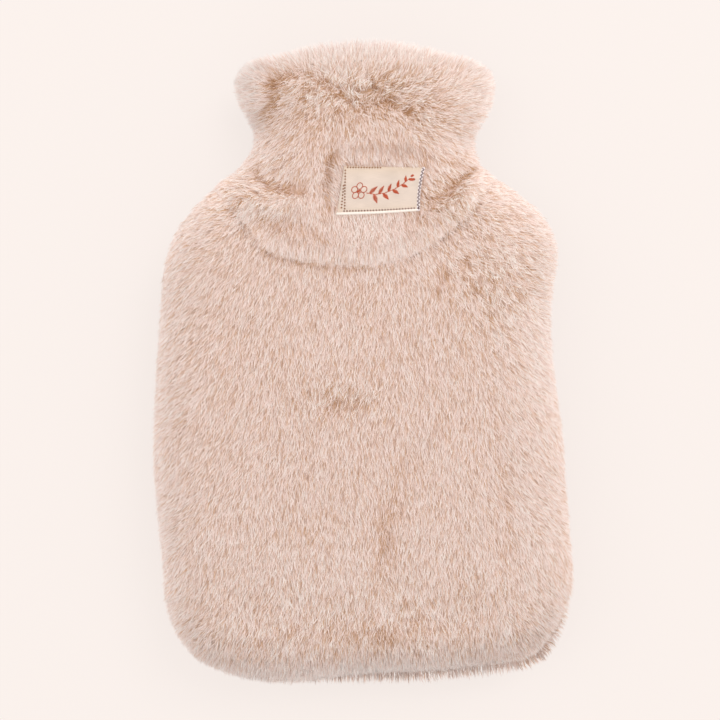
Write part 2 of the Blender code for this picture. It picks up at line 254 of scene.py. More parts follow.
def spinePoint(place):
    bodyHalf, neckHalf = skin["spineHalf"]
    half = bodyHalf + (neckHalf - bodyHalf) * smooth(*skin["spineTurn"], place.y / mm)
    low, high = skin["spineEnds"]
    x = min(max(place.x, -half * mm), half * mm)
    y = min(max(place.y, low * mm), high * mm)
    return Vector((x, y, skin["spineHeight"] * mm))


def treeOf(nodeName):
    bm = bmesh.new()
    bm.from_mesh(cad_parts[nodeName].data)
    found = BVHTree.FromBMesh(bm)
    bm.free()
    return found


def outerSkin(nodeName, rounds, coveredBy=None, hem=None):
    bm = bmesh.new()
    bm.from_mesh(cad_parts[nodeName].data)
    bmesh.ops.remove_doubles(bm, verts=bm.verts, dist=skin["weld"] * mm)
    inner = []
    for face in bm.faces:
        middle = face.calc_center_median()
        away = (middle - spinePoint(middle)).normalized()
        hidden = False
        if coveredBy:
            start = middle + face.normal * skin["coverFrom"] * mm
            covered = coveredBy.ray_cast(start, face.normal, skin["coverReach"] * mm)[0]
            stepped = face.normal.dot(away) < skin["levelUnderBib"]
            hidden = covered and (stepped or fromHem(hem, middle) > skin["underBib"])
        if face.normal.dot(away) < skin["outward"] or hidden:
            inner.append(face)
    bmesh.ops.delete(bm, geom=inner, context="FACES")
    level, square = skin["joined"]
    bmesh.ops.join_triangles(bm, faces=bm.faces, angle_face_threshold=level, angle_shape_threshold=square)
    mesh = bpy.data.meshes.new(nodeName + "_skin")
    bm.to_mesh(mesh)
    bm.free()
    mesh.shade_smooth()
    worker = newObject(nodeName + "_skin", mesh)
    finer = worker.modifiers.new("finer", "SUBSURF")
    finer.levels = finer.render_levels = rounds
    return plainMesh(worker)


def hemOf(mesh):
    # the free edge of the bib, as flat points to measure from
    bm = bmesh.new()
    bm.from_mesh(mesh)
    low, high = skin["hemBelow"] * mm, skin["hemAbove"] * mm
    found = [v.co for v in bm.verts if v.is_boundary and v.co.y < low and v.co.z > high]
    points = KDTree(len(found))
    for number, place in enumerate(found):
        points.insert(Vector((place.x, place.y, 0.0)), number)
    points.balance()
    bm.free()
    return points


def fromHem(hem, place):
    return hem.find(Vector((place[0], place[1], 0.0)))[2] / mm


def fold(mesh, name):
    places, normals = arrays(mesh)
    for panels, half, deep, dark, part, bare, path in folds.values():
        if name in panels:
            reach, way = awayFrom(places, path)
            places -= normals * (deep * mm * np.exp(-((reach / half) ** 2)))[:, None]
    mesh.vertices.foreach_set("co", places.ravel())
    mesh.update()


flapTree = treeOf("neck_flap")
hem = hemOf(outerSkin("neck_flap", skin["backingRounds"]))
skins, grounds = {}, {}
nodes = {"front": "front_panel", "flap": "neck_flap", "back": "back_panel"}
for name, node in nodes.items():
    cover = flapTree if name == "front" else None
    for made, rounds in ((skins, skin["pileRounds"]), (grounds, skin["backingRounds"])):
        made[name] = outerSkin(node, rounds, cover, hem)
        fold(made[name], name)
    print("skin", name, len(skins[name].polygons), "faces")


# which way the pile is brushed, seen from the front: place, then direction

brushed = {
    "reach": 9.0,  # each guide is full this close
    "fall": 2.5,  # and fades by this power of the squared distance
    "guides": (
        (-30, 20, -0.05, -1), (0, 20, 0.0, -1), (40, 20, 0.1, -1), (75, 30, 0.5, -0.9),
        (-60, 20, -0.25, -1), (-85, 30, -0.6, -0.85), (-95, 50, -0.8, -0.8), (98, 40, 0.9, -0.6),
        (-30, -40, 0.0, -1), (10, -40, 0.05, -1), (50, -40, 0.05, -1), (85, -30, 0.4, -1),
        (-75, -30, -0.4, -1), (-105, -20, -0.8, -0.8), (103, -20, 0.8, -0.8), (-90, -60, -0.5, -1),
        (-30, -100, 0.05, -1), (20, -100, -0.05, -1), (60, -100, 0.1, -1), (-75, -100, -0.3, -1),
        (-104, -80, -0.75, -0.8), (106, -80, 0.75, -0.8), (85, -100, 0.3, -1),
        (-98, -140, -0.7, -0.9), (100, -140, 0.7, -0.9), (-60, -155, -0.15, -1),
        (0, -160, 0.0, -1), (60, -158, 0.15, -1),
        (-85, 75, -0.7, -0.6), (85, 75, 0.8, -0.4), (-60, 66, -0.4, -0.9), (70, 62, 0.6, -0.6),
        (-70, 90, -0.7, -0.5), (-50, 84, -0.5, -0.7), (-35, 82, -0.2, -0.9), (70, 90, 0.9, -0.2),
        (-30, 62, -0.1, -1), (-15, 66, 0.0, -1), (2, 62, 0.02, -1), (20, 66, 0.1, -1), (33, 68, 0.3, -0.9),
        (48, 82, 0.6, -0.7), (-28, 104, -0.2, -1), (-50, 106, -0.6, -0.8), (-18, 100, 0.1, -1),
        (0, 112, 0.05, -1), (22, 112, 0.2, -1), (40, 100, 0.35, -0.9), (50, 108, 0.7, -0.6),
        (-35, 130, -0.55, -0.8), (-20, 122, -0.3, -0.95), (-8, 124, 0.1, -1), (10, 126, 0.5, -0.8),
        (22, 128, 0.8, -0.5), (35, 122, 0.8, -0.3), (55, 122, 0.9, -0.1), (-55, 128, -0.9, -0.4),
        (-30, 146, -0.6, -0.4), (-12, 138, -0.4, -0.6), (8, 146, 0.5, 0.8), (25, 142, 0.8, 0.4),
        (45, 142, 0.85, 0.45), (62, 140, 0.9, 0.3), (-62, 142, -1.0, 0.1), (-46, 150, -0.7, 0.5),
        (-30, 160, -0.4, 0.9), (-10, 152, 0.0, 1.0), (0, 162, 0.0, 1), (25, 158, 0.3, 0.9),
        (50, 158, 0.6, 0.8), (-58, 160, -0.7, 0.7), (66, 156, 0.8, 0.5),
    ),
    # where the pile is ruffled: x, y, spread x, spread y, how much
    "ruffled": (
        (72, 42, 20, 24, 0.9), (-5, 142, 36, 15, 1.4), (48, 84, 16, 12, 1.0), (-12, -20, 18, 8, 0.8),
        (-60, 86, 18, 12, 0.6), (38, 128, 16, 12, 0.6), (0, -135, 110, 26, 0.35),
    ),
}


def brushedAt(places):
    guides = np.array(brushed["guides"], float)
    away = places[:, None, :2] / mm - guides[None, :, :2]
    weight = 1.0 / ((away**2).sum(axis=2) + brushed["reach"] ** 2) ** brushed["fall"]
    return (weight[:, :, None] * guides[None, :, 2:]).sum(axis=1) / weight.sum(axis=1)[:, None]


# painted light and shade on the pile, in soft lighter and darker areas: x, y, spread x, spread y, how much lighter

toned = {
    "all": 0.56,
    "patches": (
        (90, 40, 22, 60, 0.06), (90, -60, 14, 80, 0.05), (108, 0, 9, 140, -0.10), (0, 164, 70, 8, 0.20),
        (-62, 150, 9, 20, 0.14), (64, 145, 12, 22, 0.08), (4, 66, 28, 10, 0.12), (0, -110, 100, 50, 0.06),
        (-25, -88, 14, 12, -0.08), (12, -92, 10, 14, -0.12), (70, 45, 20, 14, -0.05), (14, 141, 30, 12, -0.10),
        (-46, 140, 7, 14, -0.10),
        (-8, -141, 50, 5, -0.06), (4, -144, 24, 5, -0.12), (0, -161, 90, 5, 0.14), (10, -90, 6, 20, -0.05),
        (34, 74, 9, 7, -0.16), (-58, 70, 20, 10, -0.04), (-30, 121, 16, 12, -0.10), (6, 74, 24, 6, 0.06),
        (8, 124, 34, 9, -0.09), (-62.5, 72.5, 5, 5, 0.12),
    ),
    "edge": 0.04,  # the rounded sides catch more light
    "edgeAt": (0.8, 0.2),  # between these z of the normal
}

# the label's corners, from its solid: bottom left, bottom right, top right, top left

labelPoints = arrays(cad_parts["label"].data)[0][:, :2] / mm
corners = [labelPoints[np.argmax(labelPoints @ way)] for way in ((-1, -1), (1, -1), (1, 1), (-1, 1))]
labelAcross = (corners[1] + corners[2] - corners[0] - corners[3]) / 2
labelUp = (corners[2] + corners[3] - corners[0] - corners[1]) / 2
labelSize = (np.linalg.norm(labelAcross), np.linalg.norm(labelUp))
print("label", labelSize, "mm")


def labelShares(places):
    # how far along and up the label each place is, in shares of its sides
    away = places[:, :2] / mm - sum(corners) / 4
    return away @ np.linalg.inv(np.column_stack([labelAcross, labelUp])).T + 0.5


# the pile

pile = {
    # a strand
    "length": 10.5,
    "thick": 0.46,
    "bend": (0.38, 0.24),  # where a strand is widest, in shares of its length back from and below its tip
    "foot": (0.92, 1.12),  # its root, in the same way
    "lean": 40.0,
    "paint": 0.55,  # how far up it its colour has come where it is widest
    # how it is spread
    "strands": {"front": 91000, "flap": 28500, "back": 28000, "fringe": 3400},
    "parts": {"front": (-91.0, -8.0), "flap": (), "back": (-30.0,), "fringe": ()},  # cuts along y
    "width": {"front": 1.0, "flap": 1.0, "back": 1.6, "fringe": 1.0},
    "seed": 3,
    "spacing": 0.64,  # of the even distance that the density gives
    "crowding": 3.0,  # points tried for each one wanted
    "underGrowth": 0.5,  # of the growth elsewhere, where the cover lies flat
    "underAt": (0.75, 0.95),  # where it does, by how far the normal points down
    # where the pile reaches further out: x, y, spread x, spread y, how far
    "outgrown": ((74, 146, 12, 22, 5.0), (0, 172, 80, 10, 3.6), (46, 168, 22, 8, 2.0), (-70, 150, 6, 16, 1.2),
                 (112, 0, 10, 160, 1.8), (99, 66, 16, 24, 5.0), (90, -154, 14, 12, 3.5)),
    "reachAlong": 0.7,  # shares of that along the way it is brushed, and straight out
    "reachOut": 0.7,
    "fringe": (7.0, 2.6),  # grows this near the hem, and reaches this far past it
    "fringeFull": 1.0,
    "fringeAbove": 34.0,
    "fringeEnds": (60, 40),  # on either side, where it is gone and full
    # how it changes over the cover
    "rim": (146, 164),  # between these heights the pile turns longer and finer
    "rimMore": (0.3, -0.25),  # how much longer, and thicker
    "side": (0.75, 0.3),  # the same for the rounded sides, by the normal's z
    "sideMore": (0.3, -0.25),  # how much denser, and thicker
    "raised": 48.0,  # degrees, where the way it is brushed points out of the slope
    "raisedAt": (0.3, 0.95),
    "steep": (0.15, 0.3),  # combed less than this sideways, it is turned this much up
    # clumps, and how loose and uneven the strands are
    "clump": 5.0,
    "cell": (1.35, 0.8, 1.1),  # a clump's shape
    "pull": 0.11,  # how far a strand is drawn to its clump, and the power of the ruffle in it
    "pullBy": 1.4,
    "gather": 90.0,  # how much it leans that way too
    "wander": 0.6,
    "waves": ((80.0, 2.0), (22.0, 1.0)),  # scale and detail of the waves in the way it lies
    "rise": 0.9,
    "uneven": (0.6, 0.5),  # shares of that: how low a clump may be, and a strand of its own
    "stray": 3.2,  # the longest fly-away hairs stand this much over the rest
    "strayRare": 6.0,
    "strayThin": -0.5,  # how their width changes
    "ownTone": 0.335,  # each strand's own shade, and the power of the ruffle in it
    "ownToneBy": 0.85,
    "paintedGapShade": (-0.4, 0.17),  # painted shade in the gaps between clumps, by how far off its clump's middle it stands
    "clumpTone": 0.18,
    "mottle": (160.0, 2.0, 0.7),  # scale, detail, strength
    "ruffleTone": (1.3, -1.25),
    "pitch": (-0.22, 0.16),  # loose turns of each strand, in radians
    "roll": 0.15,
    "aside": 0.42,
    "sizes": (0.75, 1.2),
    "widths": (0.75, 1.25),
    "neatSides": 0.6,  # how much less it rises and strays on the sides
    "ramp": (0.96, 0.02, 0.004),  # where its tone falls on the plush's colours: run, start, own width
    # light
    "ownLight": 0.5,
    "skyward": (0.3, 1.1),  # how much it is lit from above besides, in front and at the back
    "sideSky": 0.5,  # more of that on the sides
    "hemSky": 1.6,  # more of that along the hem
    "hemSkyReach": 7.0,
    "floor": 0.3,  # nothing sinks lower than this
}
# the pile laps over the label's left side as far as its stitches, and over the right of its top
lap = {
    "left": (0.05, 0.008),  # how far, at the bottom and the top, in shares of its width
    "top": (0.0, 0.07),  # on the left and the right
    "topTurn": (0.4, 0.6),
    "beneath": (0.3, -4.5),  # growth and lift of the pile under the label
    "lift": (2.7, 2.5),  # over its left side and its top
    "flatter": 28.0,  # degrees
    "across": 0.7,  # lean to the right
    "thicker": 0.8,
    # each is a product of slopes: along what, where it is gone, where it is full; "past" and
    # "under" run rightward and downward from the lap's edges
    "covered": (("past", -0.03, 0.03), ("u", 1.03, 1.0), ("under", -0.01, 0.06), ("v", 0.0, 0.04)),
    "overLeft": (("u", -0.16, -0.03), ("past", 0.12, 0.06), ("v", -0.02, 0.12), ("v", 1.15, 0.98)),
    "overTop": (("under", 0.16, 0.06), ("v", 1.3, 1.05), ("u", -0.05, 0.02), ("u", 1.05, 0.98)),
}


def lapOver(places, comb, values):
    # sinks and thins the pile under the label, and lays it over the label's left and top
    u, v = labelShares(places).T
    past = u - np.interp(v, (0.0, 1.0), lap["left"])
    under = 1.0 - v - np.interp(u, lap["topTurn"], lap["top"])
    along = {"u": u, "v": v, "past": past, "under": under}
    covered, left, top = (
        np.prod([smooth(gone, full, along[key]) for key, gone, full in lap[part]], axis=0)
        for part in ("covered", "overLeft", "overTop")
    )
    beneath, sunk = lap["beneath"]
    liftLeft, liftTop = lap["lift"]
    values["growth"] *= (1.0 + lap["thicker"] * np.maximum(left, top)) * (1.0 - (1.0 - beneath) * covered)
    lift = liftLeft * left + liftTop * top * (1 - left)
    values["lift"] = (lift * (1 - covered) + sunk * covered) * mm
    values["raised"] -= np.radians(lap["flatter"]) * np.maximum(left, top)
    comb[:, 0] += lap["across"] * left


def layPile(mesh, name):
    # keeps on a skin what its pile needs: the way it is brushed, its growth, shade and so on
    places, normals = arrays(mesh)
    isBack = name == "back"
    count = len(places)
    flat = brushedAt(places)
    # the plush's own tone, with painted light and shade in soft patches
    tone = toned["all"] + patched(places, toned["patches"])
    growth = np.ones(count)
    partReach, darkReach, bareReach = foldReach
    # each fold parts the pile, paints shade along itself (painted light along a ridge) and thins it
    for panels, half, deep, dark, part, bare, path in folds.values():
        if name in panels or (name == "fringe" and "flap" in panels):
            reach, way = awayFrom(places, path)
            flat += way * (part * np.exp(-((reach / (partReach * half)) ** 2)))[:, None]
            tone -= dark * np.exp(-((reach / (darkReach * half)) ** 2))
            growth *= 1.0 - bare * np.exp(-((reach / (bareReach * half)) ** 2))
    flat /= np.maximum(np.hypot(flat[:, 0], flat[:, 1]), 1e-6)[:, None]
    way = np.column_stack([flat, np.zeros(count)])
    facing = (way * normals).sum(axis=1)
    comb = way - normals * facing[:, None]
    least, turned = pile["steep"]
    steep = np.hypot(comb[:, 0], comb[:, 1]) < least
    comb[steep] += np.array([0.0, 0.0, -turned if isBack else turned])
    comb /= np.maximum(np.linalg.norm(comb, axis=1), 1e-6)[:, None]
    rim = smooth(*pile["rim"], places[:, 1] / mm)
    side = smooth(*pile["side"], np.abs(normals[:, 2]))
    longer, rimThicker = pile["rimMore"]
    denser, sideThicker = pile["sideMore"]
    values = {
        "raised": np.radians(pile["raised"]) * smooth(*pile["raisedAt"], facing),
        "tone": tone,
        "growth": growth * (1.0 + denser * side),
        "long": 1.0 + longer * rim,
        "fine": (1.0 + rimThicker * rim) * (1.0 + sideThicker * side),
        "ruffle": 1.0 + patched(places, brushed["ruffled"]),
        "reach": patched(places, pile["outgrown"]) * mm,
        "lift": np.zeros(count),
        "neat": 1.0 - pile["neatSides"] * side,
        "sky": pile["skyward"][isBack] + (0.0 if isBack else pile["sideSky"]) * side,
    }
    if not isBack:
        away = np.array([fromHem(hem, place) for place in places])
        values["sky"] += pile["hemSky"] * np.exp(-((away / pile["hemSkyReach"]) ** 2))
    # painted shade on the front just below the bib's hem
    if name == "front":
        left, right = underHem["ends"]
        near = smooth(*left, places[:, 0] / mm) * smooth(*right, places[:, 0] / mm)
        near *= np.exp(-(((away - underHem["below"]) / underHem["half"]) ** 2))
        values["tone"] -= underHem["dark"] * near
    if isBack:
        values["growth"] *= 1.0 - (1.0 - pile["underGrowth"]) * smooth(*pile["underAt"], -normals[:, 2])
    else:
        lapOver(places, comb, values)
        # painted light on the rounded sides
        values["tone"] += toned["edge"] * smooth(*toned["edgeAt"], normals[:, 2])
    if name == "fringe":
        near, past = pile["fringe"]
        values["growth"] = smooth(near, pile["fringeFull"], away) * (places[:, 2] > pile["fringeAbove"] * mm)
        values["reach"] += past * mm * smooth(*pile["fringeEnds"], np.abs(places[:, 0] / mm))
    layer = mesh.attributes.new("comb", "FLOAT_VECTOR", "POINT")
    layer.data.foreach_set("vector", comb.ravel())
    for key, found in values.items():
        pointValues(mesh, key, found)


def strandMesh():
    # tip at the origin, root down and back, three points round its widest place
    lean = math.radians(pile["lean"])
    length, half = pile["length"] * mm, pile["thick"] * mm / 2
    root, ring = (
        (0.0, -length * math.cos(lean) * back, -length * math.sin(lean) * down)
        for back, down in (pile["foot"], pile["bend"])
    )
    points = [root]
    for turn in (90, 210, 330):
        side = math.cos(math.radians(turn)) * half
        lift = math.sin(math.radians(turn)) * half
        points.append((side, ring[1] - lift * math.sin(lean), ring[2] + lift * math.cos(lean)))
    points.append((0.0, 0.0, 0.0))
    faces = [(0, 1, 2), (0, 2, 3), (0, 3, 1), (4, 2, 1), (4, 3, 2), (4, 1, 3)]
    mesh = bpy.data.meshes.new("strand")
    mesh.from_pydata(points, [], faces)
    bm = bmesh.new()
    bm.from_mesh(mesh)
    bmesh.ops.recalc_face_normals(bm, faces=bm.faces)
    bm.to_mesh(mesh)
    bm.free()
    mesh.shade_smooth()
    pointValues(mesh, "along", [0.0, *[pile["paint"]] * 3, 1.0])
    pointValues(mesh, "across", [0.0, 0.0, -1.0, 1.0, 0.0])
    return mesh


def spreadPoints(tree, given):
    # evenly spaced, and more at random where the growth is over 1
    growth = kept(tree, "growth")
    even = put(tree, "GeometryNodeDistributePointsOnFaces", {
        "Mesh": given["Geometry"], "Distance Min": given["Spacing"], "Seed": given["Seed"],
        "Density Max": maths(tree, "MULTIPLY", given["Density"], pile["crowding"]), "Density Factor": growth,
    }, distribute_method="POISSON")
    extra = maths(tree, "MAXIMUM", maths(tree, "SUBTRACT", growth, 1.0), 0.0)
    more = put(tree, "GeometryNodeDistributePointsOnFaces", {
        "Mesh": given["Geometry"], "Density": maths(tree, "MULTIPLY", extra, given["Density"]), "Seed": given["Seed"],
    }, distribute_method="RANDOM")
    both = put(tree, "GeometryNodeJoinGeometry")
    for spread in (more, even):
        ready = stored(tree, spread.outputs["Points"], "ground", spread.outputs["Normal"], "FLOAT_VECTOR")
        tree.links.new(ready, both.inputs[0])
    return both.outputs[0]


def pileTree():
    tree, given, done = newTree("pile over cloth", (
        ("Strand", "Object"), ("Density", "Float"), ("Spacing", "Float"), ("Clump", "Float"), ("Pull", "Float"),
        ("Wander", "Float"), ("Rise", "Float"), ("Stray", "Float"), ("Seed", "Int"), ("Width", "Float"),
        ("Own Light", "Float"), ("Finish", "Material"),
    ))
    points = spreadPoints(tree, given)
    upright = kept(tree, "ground", "FLOAT_VECTOR")
    place = put(tree, "GeometryNodeInputPosition").outputs[0]

    # clumps: narrow cells, longer the way the pile is brushed, drawn closer where it is ruffled
    slim = pile["cell"]
    ruffle = kept(tree, "ruffle")
    cells = put(tree, "ShaderNodeTexVoronoi", {
        "Vector": vectorMaths(tree, "MULTIPLY", place, slim), "Scale": maths(tree, "DIVIDE", 1.0, given["Clump"]),
    }, feature="F1")
    centre = vectorMaths(tree, "DIVIDE", cells.outputs["Position"], slim)
    draw = maths(tree, "MULTIPLY", given["Pull"], maths(tree, "POWER", ruffle, pile["pullBy"]))
    pull = scaled(tree, vectorMaths(tree, "SUBTRACT", centre, place), draw)
    cellShade = apart(tree, cells.outputs["Color"])

    # the way it leans: brushed, with waves at two sizes, and gathered towards its clump
    wander = maths(tree, "MULTIPLY", given["Wander"], ruffle)
    way = kept(tree, "comb", "FLOAT_VECTOR")
    for wave in pile["waves"]:
        drift = vectorMaths(tree, "SUBTRACT", noise(tree, place, *wave)["Color"], (0.5, 0.5, 0.5))
        way = added(tree, way, scaled(tree, drift, wander))
    way = added(tree, way, scaled(tree, pull, pile["gather"]))
    flatten = scaled(tree, upright, vectorMaths(tree, "DOT_PRODUCT", way, upright))
    way = vectorMaths(tree, "NORMALIZE", vectorMaths(tree, "SUBTRACT", way, flatten))

    low, own = pile["uneven"]
    height = maths(tree, "ADD", maths(tree, "SUBTRACT", cellShade[0], low), chance(tree, -own, own, 11))
    height = maths(tree, "MULTIPLY", height, maths(tree, "MULTIPLY", given["Rise"], ruffle))
    neat = kept(tree, "neat")
    stray = maths(tree, "POWER", chance(tree, 0.0, 1.0, 21), pile["strayRare"])
    height = maths(tree, "MULTIPLY", maths(tree, "MULTIPLY_ADD", stray, given["Stray"], height), neat)
    height = maths(tree, "ADD", height, kept(tree, "lift"))
    reach = kept(tree, "reach")
    further = scaled(tree, kept(tree, "comb", "FLOAT_VECTOR"), maths(tree, "MULTIPLY", reach, pile["reachAlong"]))
    outward = scaled(tree, upright, maths(tree, "MULTIPLY_ADD", reach, pile["reachOut"], height))
    moved = put(tree, "GeometryNodeSetPosition", {"Geometry": points, "Offset": added(tree, pull, further, outward)})

    # painted shade, darker between clumps, and mottled at random
    *mottle, strength = pile["mottle"]
    shade = maths(tree, "MULTIPLY_ADD", cells.outputs["Distance"], *pile["paintedGapShade"])
    for part, by in ((cellShade[1], pile["clumpTone"]), (noise(tree, place, *mottle)[0], strength)):
        shade = maths(tree, "ADD", shade, maths(tree, "MULTIPLY_ADD", part, by, -by / 2))
    shade = maths(tree, "MULTIPLY", shade, maths(tree, "MULTIPLY_ADD", ruffle, *pile["ruffleTone"]))
    own = chance(tree, -pile["ownTone"], pile["ownTone"], 5)
    own = maths(tree, "MULTIPLY", own, maths(tree, "POWER", ruffle, pile["ownToneBy"]))
    tone = maths(tree, "ADD", kept(tree, "tone"), own)
    tone = maths(tree, "ADD", tone, shade, clamp=True)
    points = stored(tree, moved.outputs[0], "strandTone", tone)

    turn = put(tree, "FunctionNodeAxesToRotation", {
        "Primary Axis": upright, "Secondary Axis": way,
    }, primary_axis="Z", secondary_axis="Y").outputs[0]
    pitch = maths(tree, "ADD", chance(tree, *pile["pitch"], 7), kept(tree, "raised"))
    aside = maths(tree, "MULTIPLY", chance(tree, -pile["aside"], pile["aside"], 9), ruffle)
    loose = joined(tree, pitch, chance(tree, -pile["roll"], pile["roll"], 8), aside)
    loose = put(tree, "FunctionNodeEulerToRotation", {0: loose}).outputs[0]
    turn = put(tree, "FunctionNodeRotateRotation", {
        "Rotation": turn, "Rotate By": loose,
    }, rotation_space="LOCAL").outputs[0]
    size = maths(tree, "MULTIPLY", chance(tree, *pile["sizes"], 13), kept(tree, "long"))
    width = maths(tree, "MULTIPLY", given["Width"], kept(tree, "fine"))
    width = maths(tree, "MULTIPLY", width, chance(tree, *pile["widths"], 15))
    width = maths(tree, "MULTIPLY", width, maths(tree, "MULTIPLY_ADD", stray, pile["strayThin"], 1.0))
    strand = put(tree, "GeometryNodeObjectInfo", {"Object": given["Strand"]}).outputs["Geometry"]
    placed = put(tree, "GeometryNodeInstanceOnPoints", {
        "Points": points, "Instance": strand, "Rotation": turn, "Scale": joined(tree, width, size, size),
    })
    real = put(tree, "GeometryNodeRealizeInstances", {"Geometry": placed.outputs[0]})

    # nothing sinks into what the cover lies on
    x, y, z = apart(tree, put(tree, "GeometryNodeInputPosition").outputs[0])
    above = put(tree, "GeometryNodeSetPosition", {
        "Geometry": real.outputs[0], "Position": joined(tree, x, y, maths(tree, "MAXIMUM", z, pile["floor"] * mm)),
    })
    run, first, across = pile["ramp"]
    u = maths(tree, "MULTIPLY_ADD", kept(tree, "strandTone"), run, first)
    u = maths(tree, "ADD", u, maths(tree, "MULTIPLY", kept(tree, "across"), across))
    painted = joined(tree, u, kept(tree, "along"), 0.0)
    mapped = stored(tree, above.outputs[0], paintMap, painted, "FLOAT2", "CORNER")

    # a strand is lit mostly as the ground it stands on, so the pile looks soft
    own = scaled(tree, put(tree, "GeometryNodeInputNormal").outputs[0], given["Own Light"])
    lit = added(tree, own, kept(tree, "ground", "FLOAT_VECTOR"), joined(tree, 0.0, 0.0, kept(tree, "sky")))
    softened = put(tree, "GeometryNodeSetMeshNormal", {"Mesh": mapped}, mode="FREE", domain="POINT")
    tree.links.new(vectorMaths(tree, "NORMALIZE", lit), softened.inputs["Custom Normal"])
    finished = put(tree, "GeometryNodeSetMaterial", {"Geometry": softened.outputs[0], "Material": given["Finish"]})
    tree.links.new(finished.outputs[0], done.inputs[0])
    return tree


plush = {
    # from the deepest gaps to the lightest tips
    "tones": ((0.0, (0.46, 0.25, 0.12)), (0.25, (0.74, 0.505, 0.355)),
              (0.5, (0.965, 0.80, 0.755)), (1.0, (1.0, 0.955, 0.915))),
    "root": (0.62, 0.51, 0.445),  # painted shade deep in the pile: what the colour is multiplied by at the root
    "rootFade": (0.15, 0.9),
    "roughness": 0.95,
    "sheen": 0.15,
    "sheenRoughness": 0.6,
    "sheenTint": (1.0, 0.86, 0.78),
}


def newFinish(name, roughness, specular=0.2):
    made = bpy.data.materials.new(name)
    made.use_nodes = True
    shader = made.node_tree.nodes["Principled BSDF"]
    shader.inputs["Roughness"].default_value = roughness
    shader.inputs["Specular IOR Level"].default_value = specular
    return made, made.node_tree, shader


def ramp(tree, value, stops):
    made = put(tree, "ShaderNodeValToRGB", {0: value})
    elements = made.color_ramp.elements
    while len(elements) < len(stops):
        elements.new(0.5)
    for element, (position, colour) in zip(elements, stops):
        element.position, element.color = position, (*colour, 1)
    return made.outputs[0]


def mixed(tree, share, first, second, kind="MIX"):
    made = put(tree, "ShaderNodeMix", data_type="RGBA", blend_type=kind)
    for socket, value in ((0, share), (6, first), (7, second)):
        if isinstance(value, bpy.types.NodeSocket):
            tree.links.new(value, made.inputs[socket])
        else:
            made.inputs[socket].default_value = value if socket == 0 else (*value, 1)
    return made.outputs[2]


def times(colour, factor):
    return tuple(min(1.0, channel * factor) for channel in colour)


def plushFinish(name):
    made, tree, shader = newFinish(name, plush["roughness"])
    u, v = apart(tree, put(tree, "ShaderNodeUVMap", uv_map=paintMap).outputs[0])[:2]
    colour = ramp(tree, u, plush["tones"])
    # painted shade towards the roots, deep in the pile
    low, high = plush["rootFade"]
    fade = put(tree, "ShaderNodeMapRange", {"Value": v, "From Min": low, "From Max": high}).outputs[0]
    deep = mixed(tree, fade, plush["root"], (1.0, 1.0, 1.0))
    tree.links.new(mixed(tree, 1.0, colour, deep, "MULTIPLY"), shader.inputs["Base Color"])
    shader.inputs["Sheen Weight"].default_value = plush["sheen"]
    shader.inputs["Sheen Roughness"].default_value = plush["sheenRoughness"]
    shader.inputs["Sheen Tint"].default_value = (*plush["sheenTint"], 1)
    return made


strand = newObject("strand", strandMesh())
pileNodes = pileTree()
finishes = {
    "front": plushFinish("plush pile"), "flap": plushFinish("neck plush pile"),
    "back": plushFinish("back plush pile"),
}
finishes["fringe"] = finishes["flap"]
skins["fringe"] = skins["flap"].copy()
piles = {name: [] for name in skins}
for name, mesh in skins.items():
    layPile(mesh, name)
    growth = np.array([layer.value for layer in mesh.attributes["growth"].data])
    area = sum(face.area * growth[list(face.vertices)].mean() for face in mesh.polygons)
    cuts = (-1e3, *pile["parts"][name], 1e3)
    for number, (low, high) in enumerate(zip(cuts[:-1], cuts[1:])):
        bm = bmesh.new()
        bm.from_mesh(mesh)
        outside = [f for f in bm.faces if not low <= f.calc_center_median().y / mm < high]
        bmesh.ops.delete(bm, geom=outside, context="FACES")
        part = bpy.data.meshes.new(f"{name}_ground_{number}")
        bm.to_mesh(part)
        bm.free()
        density = pile["strands"][name] / area
        made = grown(f"{name}_pile_{number + 1}", part, pileNodes, {
            "Strand": strand, "Density": density, "Spacing": pile["spacing"] / math.sqrt(density),
            "Clump": pile["clump"] * mm, "Pull": pile["pull"], "Wander": pile["wander"], "Rise": pile["rise"] * mm,
            "Stray": pile["stray"] * mm, "Seed": pile["seed"] + number, "Width": pile["width"][name],
            "Own Light": pile["ownLight"], "Finish": finishes[name],
        })
        made.visible_shadow = False  # light sinks into the pile
        piles[name].append(made)
        print("pile", made.name, len(made.data.polygons), "faces")
bpy.data.objects.remove(strand)


# backing cloth, the knitted ground that the pile stands in

backing = {
    "depth": 8.0,
    "thick": 1.5,
    "roughness": 0.95,
    "knit": (900.0, 2.0),  # scale, detail
    "tones": ((0.3, (0.60, 0.42, 0.33)), (0.7, (0.74, 0.55, 0.45))),
}


def backingFinish(name):
    made, tree, shader = newFinish(name, backing["roughness"])
    place = put(tree, "ShaderNodeTexCoord").outputs["Object"]
    knit = noise(tree, place, *backing["knit"])[0]
    tree.links.new(ramp(tree, knit, backing["tones"]), shader.inputs["Base Color"])
    return made


backings = {}
for name, mesh in grounds.items():
    places, normals = arrays(mesh)
    mesh.vertices.foreach_set("co", (places - normals * backing["depth"] * mm).ravel())
    mesh.materials.clear()
    mesh.materials.append(backingFinish(name + " backing cloth"))
    made = newObject(name + "_backing", mesh)
    wall = made.modifiers.new("wall", "SOLIDIFY")
    wall.thickness = backing["thick"] * mm
    wall.offset = -1.0
    made.visible_shadow = name != "flap"  # so that no black gap shows under the bib
    backings[name] = made
    print("backing", made.name, len(mesh.polygons), "faces")


# the woven label

